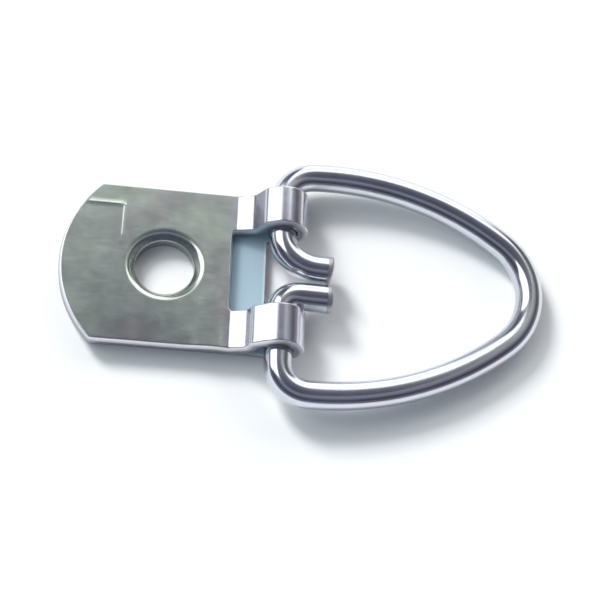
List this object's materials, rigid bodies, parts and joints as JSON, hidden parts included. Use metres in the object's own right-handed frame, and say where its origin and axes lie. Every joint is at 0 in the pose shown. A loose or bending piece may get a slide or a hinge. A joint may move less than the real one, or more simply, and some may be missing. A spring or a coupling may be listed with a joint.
{
  "type": "d-ring strap hanger",
  "caption": "Picture hanger: a folded sheet-steel strap with a dimpled screw hole and rolled knuckles that hold a swinging pointed D-ring of bent wire.",
  "frame": {"origin": "under the middle of the whole hanger, on the plane of the strap's back face", "axes": "+X from the strap towards the nose of the ring, +Y along the hinge axis, +Z away from the back face"},
  "size_m": [0.0434, 0.024, 0.0045],
  "materials": {
    "strap_zinc_plate": "bright zinc plate on rolled sheet steel, satin, with faint rolling marks",
    "ring_zinc_plate": "bright zinc plate on drawn steel wire, glossy"
  },
  "bodies": {
    "strap": {"folded_strap": "strap_zinc_plate"},
    "ring": {"d_ring": "ring_zinc_plate"}
  },
  "joints": [
    {"name": "ring_swing", "type": "hinge", "parent": "strap", "child": "ring", "pos_m": [-0.00231, 0, 0.00225], "axis": [0, -1, 0], "range_deg": [-83, 168]}
  ]
}
